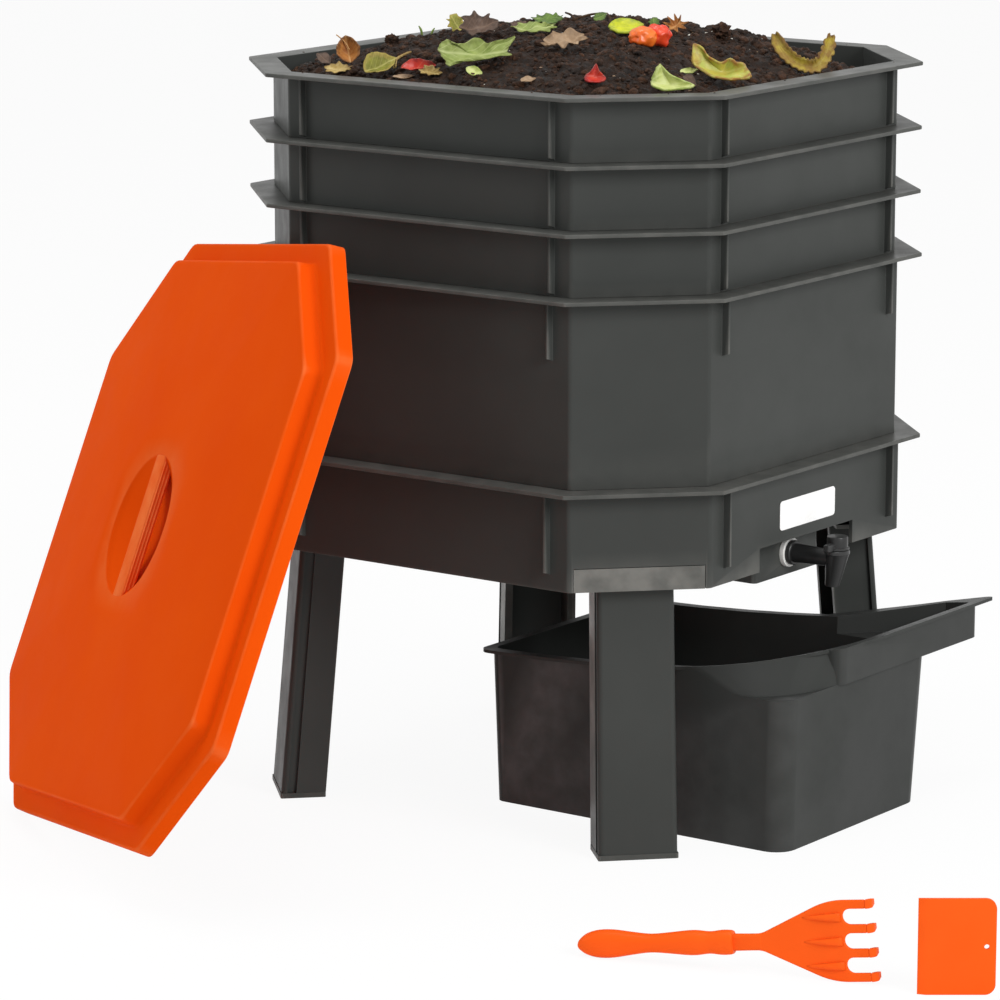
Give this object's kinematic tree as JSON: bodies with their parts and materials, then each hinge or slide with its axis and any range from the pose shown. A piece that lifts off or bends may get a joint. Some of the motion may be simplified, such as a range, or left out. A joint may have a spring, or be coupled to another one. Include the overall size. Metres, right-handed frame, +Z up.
{
  "type": "wormery",
  "caption": "Octagonal stacking worm composter on splayed legs: sump base with tap, deep bin, slotted trays, lid, catch tub and hand tools.",
  "frame": {"origin": "on the floor, under the middle of the stack of trays, on the underside of the catch tub", "axes": "+Z up, -Y out of the face that carries the tap, +X to the right seen from the tap's side"},
  "size_m": [0.688, 0.8595, 0.5695],
  "materials": {
    "body_plastic": "dark grey moulded polypropylene, fine satin texture, paler at the edges",
    "lid_plastic": "orange moulded polypropylene, satin",
    "tool_plastic": "orange moulded plastic, satin",
    "tap_plastic": "black moulded plastic, half gloss",
    "washer_rubber": "pale grey rubber",
    "label_face": "plain white label, bare",
    "compost_fill": "damp dark brown compost crumbs"
  },
  "bodies": {
    "stand": {"base": "body_plastic", "label_plate": "label_face", "leg_front_left": "body_plastic", "leg_front_right": "body_plastic", "leg_back_right": "body_plastic", "leg_back_left": "body_plastic", "tap_body": "tap_plastic", "tap_outer_washer": "washer_rubber", "tap_inner_washer": "washer_rubber", "tap_lock_nut": "tap_plastic"},
    "tap_handle": {"tap_spindle": "tap_plastic", "tap_knob": "tap_plastic"},
    "bin": {"deep_bin": "body_plastic"},
    "lower_tray": {"tray_lower": "body_plastic"},
    "middle_tray": {"tray_middle": "body_plastic"},
    "upper_tray": {"tray_top": "body_plastic", "compost": "compost_fill"},
    "cover": {"lid": "lid_plastic"},
    "tub": {"catch_tub": "body_plastic"},
    "rake": {"hand_rake": "tool_plastic"},
    "card": {"scraper": "tool_plastic"}
  },
  "joints": [
    {"name": "tap_turn", "type": "hinge", "parent": "stand", "child": "tap_handle", "pos_m": [0, -0.2222, 0.1956], "axis": [0, 0, 1], "range_deg": [0, 90]},
    {"name": "bin_lift", "type": "slide", "parent": "stand", "child": "bin", "axis": [0, 0, 1], "range_m": [0, 0.1]},
    {"name": "lower_tray_lift", "type": "slide", "parent": "bin", "child": "lower_tray", "axis": [0, 0, 1], "range_m": [0, 0.1]},
    {"name": "middle_tray_lift", "type": "slide", "parent": "lower_tray", "child": "middle_tray", "axis": [0, 0, 1], "range_m": [0, 0.1]},
    {"name": "upper_tray_lift", "type": "slide", "parent": "middle_tray", "child": "upper_tray", "axis": [0, 0, 1], "range_m": [0, 0.1]},
    {"name": "lid_lift", "type": "slide", "parent": "stand", "child": "cover", "axis": [-0.5896, 0.3903, 0.7071], "range_m": [0, 0.4]},
    {"name": "tub_slide", "type": "slide", "parent": "stand", "child": "tub", "axis": [0, -1, 0], "range_m": [0, 0.32]},
    {"name": "rake_lift", "type": "slide", "parent": "stand", "child": "rake", "axis": [0, 0, 1], "range_m": [0, 0.2]},
    {"name": "card_lift", "type": "slide", "parent": "stand", "child": "card", "axis": [0, 0, 1], "range_m": [0, 0.2]}
  ]
}
